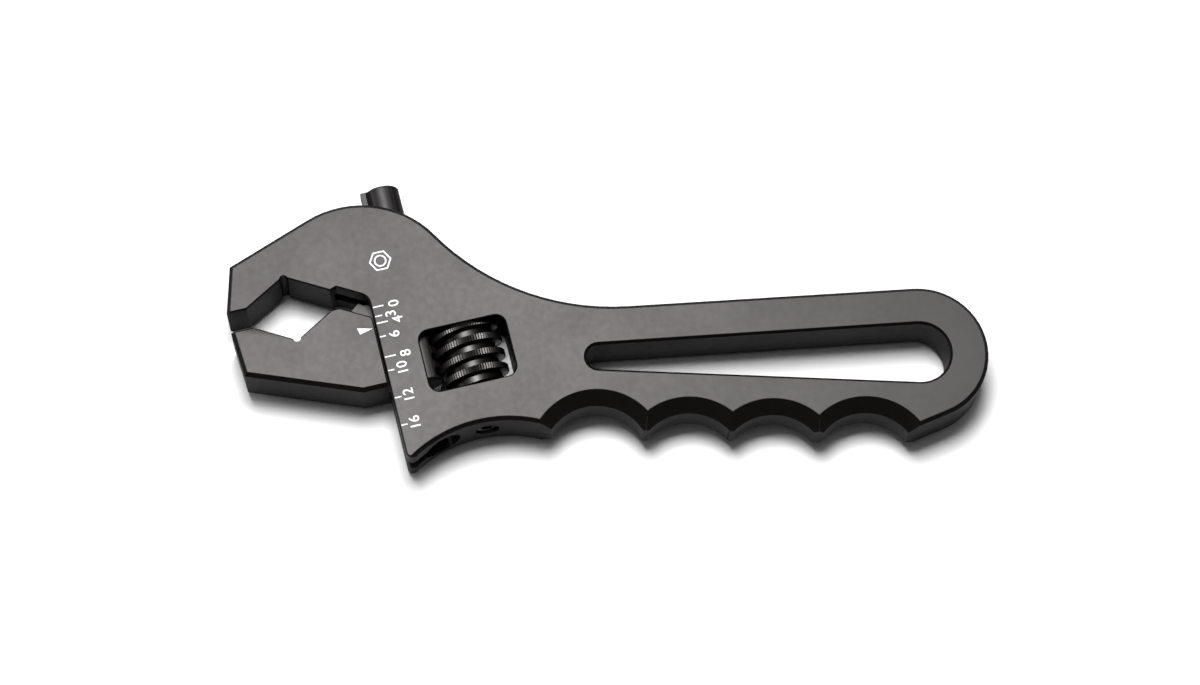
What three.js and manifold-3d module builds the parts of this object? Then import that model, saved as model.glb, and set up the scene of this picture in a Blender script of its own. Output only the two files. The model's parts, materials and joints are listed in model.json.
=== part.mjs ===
// Adjustable wrench for the hexagon nuts of hose fittings.
//
// A milled plate carries the handle, the head and the fixed jaw. The sliding jaw has a round rod
// that runs in a bore through the head. Its web slides in a slot, and a knurled worm in a window
// drives the rack on the rod. The worm turns on a pin, which a grub screw keeps in the head.
//
// Millimetres, +Z up, lying flat. X runs along the handle, from the jaws to the grip end. The head
// and all that moves are laid out in the head frame: u points away from the jaws, v runs along
// the jaw's travel, and z = 0 is the middle of the plate. The origin ends up under the middle of
// the whole wrench.

import * as THREE from 'three';
import { mergeVertices } from 'three/addons/utils/BufferGeometryUtils.js';
import Module from 'manifold-3d';

const wasm = await Module();
wasm.setup();

// ---- Driving dimensions -----------------------------------------------------------------------

const PLATE = 15; // thickness of the head and handle
const EDGE = 0.9; // chamfer round the outside of the plate
const FINE_EDGE = 0.3; // chamfer of the mouth, the worm window and the sliding jaw
const CLEARANCE = 0.3; // gap on each side of a piece that slides, turns or seats

// Handle: a tapered slot, concentric with the round grip end
const SLOT_START_X = 52.3;
const SLOT_START_R = 3.2;
const SLOT_END_X = 133.1;
const SLOT_END_R = 7.65;
const SLOT_EDGE = 0.6;
const GRIP_WALL = 9.65; // material between the slot and the grip end
const BACK_SLOPE = deg(2.95); // the handle's back against its axis
const TAIL_SLOPE = deg(22); // the straight that leaves the grip end below

// Finger grooves: spread evenly between two crests, but for a small shift of each
const GROOVE_R = 13.5;
const GROOVE_EDGE = 3.4; // the wide chamfer that makes the grooves soft to hold
const GRIP_FRONT_X = 40.2; // the first crest, under the neck
const GRIP_REAR_BACK = 3.9; // the last crest, from the middle of the grip end
const GRIP_REAR_Y = -20.3;
const GROOVE_SHIFTS = [0.05, 0.85, -0.35, 0.6];
const GROOVE_CENTRE_YS = [-25.5, -27.8, -28.5, -28.3];

// Head frame in the handle's frame
const HEAD_TURN = deg(12.7);
const HEAD_ORIGIN = [0, -7.15];

// Head outline
const CROWN_CENTRE = [-7.35, 16.25];
const CROWN_R = 25.3;
const NECK_R = 61.6;
const BROW_SLOPE = deg(32.7);
const NOSE_TOP_X = -40.4;
const NOSE_LEAN = 0.045; // the nose leans out by this much per unit of height
const UNDERCUT_CENTRE = [19.2, -47.5]; // u, v
const UNDERCUT_R = 33.1;
const CHIN_R = 1.5;

// Jaws: two 120 degree notches that hold a hexagon by four flats
const NUT_U = -19.8;
const NUT_FLATS_REST = 14.8; // the nut that fits as the jaws stand at rest
const NOTCH_ANGLE = deg(30);
const NOTCH_RELIEF_R = 1.0;
const NOTCH_RELIEF_DROP = 0.5;
const FIXED_APEX_V = 34.4;
const FIXED_NOTCH_DEPTH = 6.15;
const FIXED_FLANK_END_U = -9.1;
const RECESS_START_U = -7.4;
const RECESS_DEPTH = 1.55; // how far the recess lies beyond the flank's line
const RECESS_R = 3.2;

// Travel of the sliding jaw from rest
const CLOSE_TRAVEL = 4.9;
const OPEN_TRAVEL = 27;

// Sliding jaw: heights are measured down from the bottom of its notch
const JAW_NOTCH_DEPTH = 5.75;
const JAW_EDGE = 1.0;
const JAW_NOSE_U = -35.6;
const JAW_CHIN_U = -34.7;
const JAW_CHIN_DROP = 6.1;
const JAW_FLOOR_U = -6.8;
const JAW_FLOOR_DROP = 17.1;
const JAW_SHOULDER_U = -7.6;
const JAW_SHOULDER_R = 1.2;
const JAW_CORNER_R = 1.6;

// Web between the jaw and its rod: its front, its highest point and its back, which lie above the
// jaw's tips by RISE or are lower than the highest point by DROP
const WEB = 4.0;
const WEB_ROOT_U = -6;
const WEB_FRONT_U = -4.8;
const WEB_FRONT_DROP = 1.6;
const WEB_PEAK_U = -2.8;
const WEB_RISE = 2.05;
const WEB_BACK_U = -1.5;
const WEB_BACK_DROP = 0.9;
const WEB_SLOT_ROOM = 2.0; // how far the slot in the head goes on past the web's root

// Rod and rack
const ROD_U = 9.6;
const ROD_R = 4.5;
const ROD_LENGTH = 53.6;
const ROD_FOOT_RISE = 0.2; // the rod's foot above the jaw's floor
const ROD_CHAMFER = 0.5;
const RIB_OUT = 0.9; // how far the rib stands out of the rod
const RACK_ROOT = 2.0; // depth of the rack below the rod's surface
const RACK_PLAY = 0.2; // extra half width of a rack gap at its root

// Worm: in each pitch its thread has a crest, a flank, a root and a flank
const PITCH = 4.0;
const THREAD_STEPS = 20; // steps in a turn and in a pitch
const CREST_STEPS = 7;
const FLANK_STEPS = 3;
const THREAD_DEPTH = 1.9;
const THREAD_PHASE_V = 3.15; // height of a crest on the upper side of the worm
const WORM_R = 9.0;
const WORM_CHAMFER = 1.0;
const WORM_ENGAGE = 1.6; // how far the thread reaches past the rod's surface

// Window for the worm
const WINDOW_BOTTOM_V = -4.1;
const WINDOW_TOP_V = 12.2;
const WINDOW_PAST_ROD = 0.1; // from the middle of the rod to the window
const THUMB_GAP = 1.4; // from the worm to the far side of the window
const WINDOW_R = 2.6;

// Worm pin, its grub screw and the spring that takes up the worm's end play
const PIN_R = 2.2;
const PIN_TOP_V = 18.8;
const PIN_BOTTOM_V = -8.5;
const PIN_CHAMFER = 0.3;
const SCREW_LEDGE = 0.55; // how much the screw is wider than the pin
const SCREW_LENGTH = 5;
const SCREW_CHAMFER = 0.4;
const SOCKET_FLATS = 3;
const SOCKET_DEPTH = 2.6;
const SPRING_WIRE_R = 0.4;
const SPRING_GAP = 0.7; // between the pin and the spring
const SPRING_TURNS = 3;
const SPRING_POCKET_DEPTH = 4;

// ---- Values that follow -----------------------------------------------------------------------

const HALF = PLATE / 2;
const GRIP_END_R = SLOT_END_R + GRIP_WALL;
const GRIP_REAR_X = SLOT_END_X - GRIP_REAR_BACK;
const BORE_R = ROD_R + CLEARANCE;
const SLOT_HALF = WEB / 2 + CLEARANCE;
const FLANK = Math.tan(NOTCH_ANGLE);
const FIXED_TIP_V = FIXED_APEX_V - FIXED_NOTCH_DEPTH;
const JAW_APEX_V = FIXED_APEX_V - NUT_FLATS_REST / Math.cos(NOTCH_ANGLE);
const JAW_TIP_V = JAW_APEX_V + JAW_NOTCH_DEPTH;
const JAW_CHIN_V = JAW_APEX_V - JAW_CHIN_DROP;
const JAW_FLOOR_V = JAW_APEX_V - JAW_FLOOR_DROP;
const WEB_TOP_V = JAW_TIP_V + WEB_RISE;
const ROD_BOTTOM_V = JAW_FLOOR_V + ROD_FOOT_RISE;
const ROD_TOP_V = ROD_BOTTOM_V + ROD_LENGTH;
const WORM_U = ROD_U + ROD_R + WORM_R - WORM_ENGAGE;
const WORM_BOTTOM_V = WINDOW_BOTTOM_V + CLEARANCE;
const WORM_TOP_V = WINDOW_TOP_V - CLEARANCE;
const WINDOW_LEFT_U = ROD_U + WINDOW_PAST_ROD;
const WINDOW_RIGHT_U = WORM_U + WORM_R + THUMB_GAP;
const THREAD_SLOPE = (PITCH * FLANK_STEPS) / THREAD_STEPS / THREAD_DEPTH;
const RACK_ROOT_HALF = (PITCH * CREST_STEPS) / THREAD_STEPS / 2 + RACK_PLAY;
const SCREW_R = PIN_R + SCREW_LEDGE;
const SPRING_R = PIN_R + SPRING_WIRE_R + SPRING_GAP; // to the middle of the wire
const BEYOND = 60; // cutters run this far, past any piece

// ---- Outlines ---------------------------------------------------------------------------------

function deg(angle) {
  return (angle * Math.PI) / 180;
}

// Points of an arc, close enough together that the chord stays within the sag
function arc(cx, cy, r, from, to, sag = 0.03) {
  const step = 2 * Math.acos(Math.max(0, 1 - sag / r));
  const count = Math.max(2, Math.ceil(Math.abs(to - from) / step));
  const points = [];
  for (let i = 0; i <= count; i += 1) {
    const angle = from + ((to - from) * i) / count;
    points.push([cx + r * Math.cos(angle), cy + r * Math.sin(angle)]);
  }
  return points;
}

function outline(points) {
  const kept = points.filter((p, i) => {
    const q = points[(i + points.length - 1) % points.length];
    return Math.hypot(p[0] - q[0], p[1] - q[1]) > 1e-3;
  });
  return new THREE.Shape(kept.map(([x, y]) => new THREE.Vector2(x, y)));
}

function circle(cx, cy, r, sag) {
  return outline(arc(cx, cy, r, 0, 2 * Math.PI, sag).slice(1));
}

// The arc that rounds the corner b between the straights a-b and b-c
function fillet(a, b, c, r) {
  const p = new THREE.Vector2(...a).sub(new THREE.Vector2(...b)).normalize();
  const q = new THREE.Vector2(...c).sub(new THREE.Vector2(...b)).normalize();
  const half = Math.acos(p.dot(q)) / 2;
  const middle = p.clone().add(q).normalize().multiplyScalar(r / Math.sin(half));
  const centre = [b[0] + middle.x, b[1] + middle.y];
  const length = r / Math.tan(half);
  const start = Math.atan2(b[1] + p.y * length - centre[1], b[0] + p.x * length - centre[0]);
  let end = Math.atan2(b[1] + q.y * length - centre[1], b[0] + q.x * length - centre[0]);
  if (end - start > Math.PI) end -= 2 * Math.PI;
  if (end - start < -Math.PI) end += 2 * Math.PI;
  return arc(centre[0], centre[1], r, start, end);
}

// From the head frame to the handle's frame
function toHandle([u, v]) {
  const c = Math.cos(HEAD_TURN);
  const s = Math.sin(HEAD_TURN);
  return [HEAD_ORIGIN[0] + u * c - v * s, HEAD_ORIGIN[1] + u * s + v * c];
}

// ---- Solids -----------------------------------------------------------------------------------

function solid(geometry) {
  const bare = geometry.clone();
  for (const name of Object.keys(bare.attributes)) {
    if (name !== 'position') bare.deleteAttribute(name);
  }
  const merged = mergeVertices(bare, 1e-4);
  const position = merged.attributes.position.array;
  const index = Array.from(merged.index.array);
  const corner = (i) => new THREE.Vector3().fromArray(position, 3 * index[i]);
  const faces = [];
  let volume = 0;
  for (let i = 0; i < index.length; i += 3) {
    const [a, b, c] = [index[i], index[i + 1], index[i + 2]];
    if (a === b || b === c || c === a) continue;
    faces.push([a, b, c]);
    volume += corner(i).dot(corner(i + 1).cross(corner(i + 2)));
  }
  const turned = volume < 0 ? faces.map(([a, b, c]) => [a, c, b]) : faces;
  return new wasm.Manifold(new wasm.Mesh({
    numProp: 3,
    vertProperties: new Float32Array(position),
    triVerts: new Uint32Array(turned.flat()),
  }));
}

function prism(shape, bottom, top, chamfer = 0) {
  const geometry = new THREE.ExtrudeGeometry(shape, {
    depth: top - bottom - 2 * chamfer,
    bevelEnabled: chamfer > 0,
    bevelThickness: chamfer,
    bevelSize: chamfer,
    bevelOffset: -chamfer,
    bevelSegments: 1,
  });
  geometry.translate(0, 0, bottom + chamfer);
  return solid(geometry);
}

// A cutter through the plate that also chamfers both edges of the hole it leaves
function flaredCutter(shape, chamfer) {
  const above = 1;
  const reach = chamfer + above;
  const lip = new THREE.ExtrudeGeometry(shape, {
    depth: 1,
    bevelEnabled: true,
    bevelThickness: reach,
    bevelSize: reach,
    bevelSegments: 1,
  });
  const upper = lip.clone().translate(0, 0, HALF - chamfer + reach);
  const lower = lip.clone().rotateX(Math.PI).scale(1, -1, 1);
  lower.translate(0, 0, chamfer - HALF - reach);
  return prism(shape, -BEYOND, BEYOND).add(solid(upper)).add(solid(lower));
}

function box(u0, u1, v0, v1, z0, z1) {
  const geometry = new THREE.BoxGeometry(u1 - u0, v1 - v0, z1 - z0);
  return solid(geometry.translate((u0 + u1) / 2, (v0 + v1) / 2, (z0 + z1) / 2));
}

// A solid that is turned about an axis along v, at u, from its half profile
function turned(u, profile, sides) {
  const points = profile.map(([r, v]) => new THREE.Vector2(r, v));
  return solid(new THREE.LatheGeometry(points, sides).translate(u, 0, 0));
}

function cylinder(u, r, v0, v1, sides = 32) {
  return turned(u, [[0, v0], [r, v0], [r, v1], [0, v1]], sides);
}

function chamferedBar(u, r, v0, v1, chamfer, sides) {
  const ends = [[r - chamfer, v0], [r, v0 + chamfer], [r, v1 - chamfer], [r - chamfer, v1]];
  return turned(u, [[0, v0], ...ends, [0, v1]], sides);
}

// Moves a solid from the head frame to the handle's frame
function inHandle(part) {
  const matrix = new THREE.Matrix4().makeRotationZ(HEAD_TURN);
  matrix.setPosition(HEAD_ORIGIN[0], HEAD_ORIGIN[1], 0);
  return part.transform(matrix.toArray());
}

// ---- Wrench body ------------------------------------------------------------------------------

// In front of the head the outline runs through the mouth, which is cut out afterwards
function bodyOutline() {
  const [cx, cy] = CROWN_CENTRE;
  const brow = Math.PI / 2 + BROW_SLOPE;
  const browPoint = [cx + CROWN_R * Math.cos(brow), cy + CROWN_R * Math.sin(brow)];
  const noseTop = [NOSE_TOP_X, browPoint[1] + (NOSE_TOP_X - browPoint[0]) * Math.tan(BROW_SLOPE)];
  const noseLength = 20;
  const noseFoot = [NOSE_TOP_X - noseLength * NOSE_LEAN, noseTop[1] - noseLength];

  // The back of the handle touches the grip end, and the neck arc touches it and the crown
  const normal = [-Math.sin(BACK_SLOPE), Math.cos(BACK_SLOPE)];
  const along = [Math.cos(BACK_SLOPE), Math.sin(BACK_SLOPE)];
  const backHeight = SLOT_END_X * normal[0] + GRIP_END_R;
  const fromLine = backHeight + NECK_R;
  const crownHeight = cx * normal[0] + cy * normal[1];
  const crownAlong = cx * along[0] + cy * along[1];
  const reach = Math.sqrt((CROWN_R + NECK_R) ** 2 - (fromLine - crownHeight) ** 2);
  const neck = [0, 1].map((i) => normal[i] * fromLine + along[i] * (crownAlong + reach));
  const toNeck = Math.atan2(neck[1] - cy, neck[0] - cx);

  const under = toHandle(UNDERCUT_CENTRE);
  const underStart = Math.acos((GRIP_FRONT_X - under[0]) / UNDERCUT_R);
  const underEnd = deg(150);
  const inMouth = toHandle([-3, 0]);
  return outline([
    noseFoot,
    noseTop,
    ...arc(cx, cy, CROWN_R, brow, toNeck),
    ...arc(neck[0], neck[1], NECK_R, toNeck + Math.PI, 1.5 * Math.PI + BACK_SLOPE),
    ...arc(SLOT_END_X, 0, GRIP_END_R, Math.PI / 2 + BACK_SLOPE, TAIL_SLOPE - Math.PI / 2),
    [GRIP_REAR_X, GRIP_REAR_Y],
    ...arc(under[0], under[1], UNDERCUT_R, underStart, underEnd),
    [inMouth[0], under[1] + UNDERCUT_R * Math.sin(underEnd)],
    inMouth,
  ].reverse());
}

function slotShape() {
  const length = SLOT_END_X - SLOT_START_X;
  const taper = Math.asin((SLOT_END_R - SLOT_START_R) / length);
  const side = Math.PI / 2 + taper;
  return outline([
    ...arc(SLOT_END_X, 0, SLOT_END_R, -side, side),
    ...arc(SLOT_START_X, 0, SLOT_START_R, side, 2 * Math.PI - side),
  ]);
}

function grooveCutter(x, y) {
  const wall = HALF - GROOVE_EDGE;
  const above = 1;
  const flare = GROOVE_R + GROOVE_EDGE + above;
  const end = HALF + above;
  const sides = 72;
  const wallPoints = [[flare, -end], [GROOVE_R, -wall], [GROOVE_R, wall], [flare, end]];
  const points = [[0, -end], ...wallPoints, [0, end]].map(([r, z]) => new THREE.Vector2(r, z));
  const geometry = new THREE.LatheGeometry(points, sides);
  return solid(geometry.rotateX(Math.PI / 2).translate(x, y, 0));
}

// The mouth: everything below the fixed jaw and in front of the head
function mouthShape() {
  const height = (u) => FIXED_APEX_V - Math.abs(u - NUT_U) * FLANK;
  const tipU = NUT_U - FIXED_NOTCH_DEPTH / FLANK;
  const recess = (u) => height(u) + RECESS_DEPTH;
  const recessStart = [RECESS_START_U, recess(RECESS_START_U)];
  const chinV = UNDERCUT_CENTRE[1]
    + Math.sqrt((UNDERCUT_R + CHIN_R) ** 2 - (UNDERCUT_CENTRE[0] - CHIN_R) ** 2);
  const chinEnd = Math.PI + Math.atan2(chinV - UNDERCUT_CENTRE[1], CHIN_R - UNDERCUT_CENTRE[0]);
  const chin = arc(CHIN_R, chinV, CHIN_R, Math.PI, chinEnd);
  return outline([
    [-BEYOND, FIXED_TIP_V],
    [-BEYOND, -BEYOND],
    [chin[chin.length - 1][0], -BEYOND],
    ...chin.reverse(),
    ...fillet(recessStart, [0, recess(0)], [0, 0], RECESS_R).reverse(),
    recessStart,
    [FIXED_FLANK_END_U, height(FIXED_FLANK_END_U)],
    [NUT_U, FIXED_APEX_V],
    [tipU, FIXED_TIP_V],
  ]);
}

function windowShape() {
  const corners = [
    [WINDOW_LEFT_U, WINDOW_BOTTOM_V], [WINDOW_RIGHT_U, WINDOW_BOTTOM_V],
    [WINDOW_RIGHT_U, WINDOW_TOP_V], [WINDOW_LEFT_U, WINDOW_TOP_V],
  ];
  return outline(corners.flatMap((corner, i) => (
    fillet(corners[(i + 3) % 4], corner, corners[(i + 1) % 4], WINDOW_R)
  )));
}

function notchRelief(v) {
  return prism(circle(NUT_U, v, NOTCH_RELIEF_R), -BEYOND, BEYOND);
}

function wrenchBody() {
  const webSlotTop = WEB_TOP_V + CLOSE_TRAVEL + 2 * CLEARANCE;
  const ribSlotU = ROD_U - ROD_R - RIB_OUT - CLEARANCE;
  const pinHoleTop = PIN_TOP_V + CLEARANCE;
  const headCutters = [
    flaredCutter(mouthShape(), FINE_EDGE),
    flaredCutter(windowShape(), FINE_EDGE),
    notchRelief(FIXED_APEX_V - NOTCH_RELIEF_DROP),
    cylinder(ROD_U, BORE_R, -BEYOND, BEYOND),
    box(WEB_ROOT_U - WEB_SLOT_ROOM, ROD_U, -BEYOND, webSlotTop, -SLOT_HALF, SLOT_HALF),
    box(ribSlotU, ROD_U, ROD_BOTTOM_V, BEYOND, -SLOT_HALF, SLOT_HALF),
    cylinder(WORM_U, PIN_R + CLEARANCE, PIN_BOTTOM_V - SCREW_LENGTH, pinHoleTop),
    cylinder(WORM_U, SCREW_R + CLEARANCE, -BEYOND, PIN_BOTTOM_V),
  ];
  const grooveSpacing = (GRIP_REAR_X - GRIP_FRONT_X) / GROOVE_SHIFTS.length;
  const grooves = GROOVE_SHIFTS.map((shift, i) => (
    grooveCutter(GRIP_FRONT_X + (i + 0.5) * grooveSpacing + shift, GROOVE_CENTRE_YS[i])
  ));
  const cutters = [flaredCutter(slotShape(), SLOT_EDGE), ...grooves, ...headCutters.map(inHandle)];
  const plate = prism(bodyOutline(), -HALF, HALF, EDGE);
  return cutters.reduce((body, cutter) => body.subtract(cutter), plate);
}

// ---- Sliding jaw ------------------------------------------------------------------------------

function jawShape() {
  const halfMouth = JAW_NOTCH_DEPTH / FLANK;
  const front = [NUT_U - halfMouth, JAW_TIP_V];
  const apex = [NUT_U, JAW_APEX_V];
  const rear = [NUT_U + halfMouth, JAW_TIP_V];
  const shoulder = [JAW_SHOULDER_U, JAW_TIP_V];
  const back = [-CLEARANCE, JAW_TIP_V - (-CLEARANCE - JAW_SHOULDER_U) * FLANK];
  const heel = [-CLEARANCE, JAW_FLOOR_V];
  return outline([
    [JAW_NOSE_U, JAW_TIP_V],
    [JAW_CHIN_U, JAW_CHIN_V],
    [JAW_FLOOR_U, JAW_FLOOR_V],
    heel,
    ...fillet(heel, back, shoulder, JAW_CORNER_R),
    shoulder,
    ...fillet(shoulder, rear, apex, JAW_SHOULDER_R),
    apex,
    front,
  ]);
}

// Chamfers the two edges of the plate along the straight a-b
function edgeCutters(a, b) {
  const past = 2;
  const side = Math.SQRT2 * JAW_EDGE;
  const geometry = new THREE.BoxGeometry(Math.hypot(b[0] - a[0], b[1] - a[1]) + 2 * past, side, side);
  geometry.rotateX(Math.PI / 4);
  geometry.rotateZ(Math.atan2(b[1] - a[1], b[0] - a[0]));
  geometry.translate((a[0] + b[0]) / 2, (a[1] + b[1]) / 2, 0);
  return [HALF, -HALF].map((z) => solid(geometry.clone().translate(0, 0, z)));
}

// One gap of the rack, slanted as the thread is where it passes the rod
function rackGap(v) {
  const root = ROD_U + ROD_R - RACK_ROOT;
  const reach = RACK_ROOT + 1;
  const outerHalf = RACK_ROOT_HALF + reach * THREAD_SLOPE;
  const shape = outline([
    [root, v - RACK_ROOT_HALF],
    [root + reach, v - outerHalf],
    [root + reach, v + outerHalf],
    [root, v + RACK_ROOT_HALF],
  ]);
  const lead = PITCH / (2 * Math.PI * (WORM_R - WORM_ENGAGE / 2));
  const slant = new THREE.Matrix4().set(1, 0, 0, 0, 0, 1, lead, 0, 0, 0, 1, 0, 0, 0, 0, 1);
  return prism(shape, -ROD_R - 1, ROD_R + 1).transform(slant.toArray());
}

function slidingJaw() {
  const nose = [JAW_NOSE_U, JAW_TIP_V];
  const chin = [JAW_CHIN_U, JAW_CHIN_V];
  const floor = [JAW_FLOOR_U, JAW_FLOOR_V];
  const heel = [-CLEARANCE, JAW_FLOOR_V];
  const web = outline([
    [WEB_ROOT_U, JAW_FLOOR_V],
    [ROD_U, ROD_BOTTOM_V],
    [ROD_U, WEB_TOP_V - WEB_BACK_DROP],
    [WEB_BACK_U, WEB_TOP_V - WEB_BACK_DROP],
    [WEB_PEAK_U, WEB_TOP_V],
    [WEB_FRONT_U, WEB_TOP_V - WEB_FRONT_DROP],
    [WEB_ROOT_U, JAW_TIP_V - WEB_RISE],
  ]);
  const added = [
    prism(web, -WEB / 2, WEB / 2),
    chamferedBar(ROD_U, ROD_R, ROD_BOTTOM_V, ROD_TOP_V, ROD_CHAMFER, 28),
    box(ROD_U - ROD_R - RIB_OUT, ROD_U, ROD_BOTTOM_V + 1, ROD_TOP_V, -WEB / 2, WEB / 2),
  ];
  const cut = [
    ...edgeCutters(nose, chin),
    ...edgeCutters(chin, floor),
    ...edgeCutters(floor, heel),
    notchRelief(JAW_APEX_V + NOTCH_RELIEF_DROP),
  ];

  // The gaps lie midway between the crests of the thread, as far as the worm meets the rod
  const rackTop = WORM_TOP_V + OPEN_TRAVEL + PITCH / 2;
  const pitchesBelow = Math.ceil(CLOSE_TRAVEL / PITCH);
  const gaps = [];
  for (let v = THREAD_PHASE_V - (pitchesBelow + 0.25) * PITCH; v < rackTop; v += PITCH) {
    gaps.push(rackGap(v));
  }
  let jaw = prism(jawShape(), -HALF, HALF, FINE_EDGE);
  for (const cutter of cut) jaw = jaw.subtract(cutter);
  for (const piece of added) jaw = jaw.add(piece);
  for (const gap of gaps) jaw = jaw.subtract(gap);
  return jaw;
}

// ---- Worm, its pin, spring and screw ----------------------------------------------------------

// A single-start thread has one cross-section, which turns once in each pitch. The section is a
// crest, a flank, a root and a flank, and the worm is that section drawn out and twisted.
function adjustingWorm() {
  const rootStart = CREST_STEPS + FLANK_STEPS;
  const rootEnd = THREAD_STEPS - FLANK_STEPS;
  const depthAt = (i) => {
    if (i <= CREST_STEPS) return 0;
    if (i < rootStart) return (THREAD_DEPTH * (i - CREST_STEPS)) / FLANK_STEPS;
    if (i <= rootEnd) return THREAD_DEPTH;
    return (THREAD_DEPTH * (THREAD_STEPS - i)) / FLANK_STEPS;
  };
  const step = (2 * Math.PI) / THREAD_STEPS;
  const section = Array.from({ length: THREAD_STEPS }, (_, i) => {
    const r = WORM_R - depthAt(i);
    return [r * Math.cos(i * step), r * Math.sin(i * step)];
  });
  const length = WORM_TOP_V - WORM_BOTTOM_V;
  const geometry = new THREE.ExtrudeGeometry(outline(section), {
    depth: length,
    bevelEnabled: false,
    steps: Math.round((length / PITCH) * THREAD_STEPS),
  });

  // Drawn along z, then stood along v; the crest passes the top of the worm at the phase height
  const position = geometry.attributes.position;
  const crestMiddle = (CREST_STEPS / 2) * step;
  const upwards = -Math.PI / 2;
  for (let i = 0; i < position.count; i += 1) {
    const v = WORM_BOTTOM_V + position.getZ(i);
    const twist = (2 * Math.PI * (v - THREAD_PHASE_V)) / PITCH + upwards - crestMiddle;
    const x = position.getX(i);
    const y = position.getY(i);
    const u = x * Math.cos(twist) - y * Math.sin(twist);
    const down = x * Math.sin(twist) + y * Math.cos(twist);
    position.setXYZ(i, u, v, -down);
  }
  const hull = chamferedBar(WORM_U, WORM_R + 0.05, WORM_BOTTOM_V, WORM_TOP_V, WORM_CHAMFER, 48);
  const bore = cylinder(WORM_U, PIN_R + CLEARANCE, -BEYOND, BEYOND, 24);
  const pocketR = SPRING_R + SPRING_WIRE_R + CLEARANCE;
  const pocket = cylinder(WORM_U, pocketR, WORM_TOP_V - SPRING_POCKET_DEPTH, BEYOND, 24);
  const thread = solid(geometry.translate(WORM_U, 0, 0));
  return thread.intersect(hull).subtract(bore).subtract(pocket);
}

class Helix extends THREE.Curve {
  constructor(radius, length, turns) {
    super();
    Object.assign(this, { radius, length, turns });
  }

  getPoint(t, target = new THREE.Vector3()) {
    const angle = 2 * Math.PI * this.turns * t;
    return target.set(this.radius * Math.sin(angle), this.length * t, this.radius * Math.cos(angle));
  }
}

function wormSpring() {
  const bottom = WORM_TOP_V - SPRING_POCKET_DEPTH + CLEARANCE + SPRING_WIRE_R;
  const top = WINDOW_TOP_V - CLEARANCE - SPRING_WIRE_R;
  const stepsPerTurn = 16;
  const wireSag = 0.1;
  const geometry = new THREE.ExtrudeGeometry(circle(0, 0, SPRING_WIRE_R, wireSag), {
    steps: stepsPerTurn * SPRING_TURNS,
    extrudePath: new Helix(SPRING_R, top - bottom, SPRING_TURNS),
  });
  return solid(geometry.translate(WORM_U, bottom, 0));
}

function wormPin() {
  return chamferedBar(WORM_U, PIN_R, PIN_BOTTOM_V + CLEARANCE, PIN_TOP_V, PIN_CHAMFER, 24);
}

function grubScrew() {
  const top = PIN_BOTTOM_V - CLEARANCE;
  const bottom = top - SCREW_LENGTH;
  const socketR = SOCKET_FLATS / 2 / Math.cos(Math.PI / 6);
  const socket = cylinder(WORM_U, socketR, bottom - 1, bottom + SOCKET_DEPTH, 6);
  return chamferedBar(WORM_U, SCREW_R, bottom, top, SCREW_CHAMFER, 24).subtract(socket);
}

// ---- Finishes and assembly --------------------------------------------------------------------

const FINISHES = {
  blackAnodised: { color: 0x59585b, roughness: 0.45, metalness: 0.7 },
  blackSteel: { color: 0x2a2a2c, roughness: 0.35, metalness: 0.9 },
  springSteel: { color: 0x8c8d90, roughness: 0.3, metalness: 1 },
};

function mesh(name, part, finish) {
  const { vertProperties, triVerts, numProp } = part.getMesh();
  const positions = new Float32Array((vertProperties.length / numProp) * 3);
  for (let i = 0; i < positions.length / 3; i += 1) {
    for (let k = 0; k < 3; k += 1) positions[3 * i + k] = vertProperties[numProp * i + k];
  }
  const geometry = new THREE.BufferGeometry();
  geometry.setAttribute('position', new THREE.BufferAttribute(positions, 3));
  geometry.setIndex(Array.from(triVerts));
  geometry.computeVertexNormals();
  const made = new THREE.Mesh(geometry, new THREE.MeshStandardMaterial(FINISHES[finish]));
  made.name = name;
  return made;
}

const head = new THREE.Group();
head.position.set(HEAD_ORIGIN[0], HEAD_ORIGIN[1], 0);
head.rotation.z = HEAD_TURN;
head.add(mesh('sliding_jaw', slidingJaw(), 'blackAnodised'));
head.add(mesh('adjusting_worm', adjustingWorm(), 'blackSteel'));
head.add(mesh('worm_pin', wormPin(), 'springSteel'));
head.add(mesh('worm_spring', wormSpring(), 'springSteel'));
head.add(mesh('pin_grub_screw', grubScrew(), 'blackSteel'));

const wrench = new THREE.Group();
wrench.name = 'adjustable_wrench';
wrench.add(mesh('wrench_body', wrenchBody(), 'blackAnodised'));
wrench.add(head);

// The origin moves under the middle of the whole wrench
wrench.updateMatrixWorld(true);
const bounds = new THREE.Box3().setFromObject(wrench, true);
const middle = bounds.getCenter(new THREE.Vector3());
wrench.position.set(-middle.x, -middle.y, -bounds.min.z);

export default wrench;
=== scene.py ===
# %% [markdown]
# # An adjustable wrench, finished in Blender
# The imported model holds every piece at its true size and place, but as plain faceted solids. This
# lesson turns it into a finished wrench: satin black plates with fine edges, a knurled worm, a
# printed size scale, and soft lights over a pale floor. Nothing that moves is moved here. Each
# piece only rides on the body that carries it, so the wrench still opens and closes.

# %% Load the frame
import json
import math

import bmesh
import bpy
from mathutils import Matrix, Vector


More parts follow.
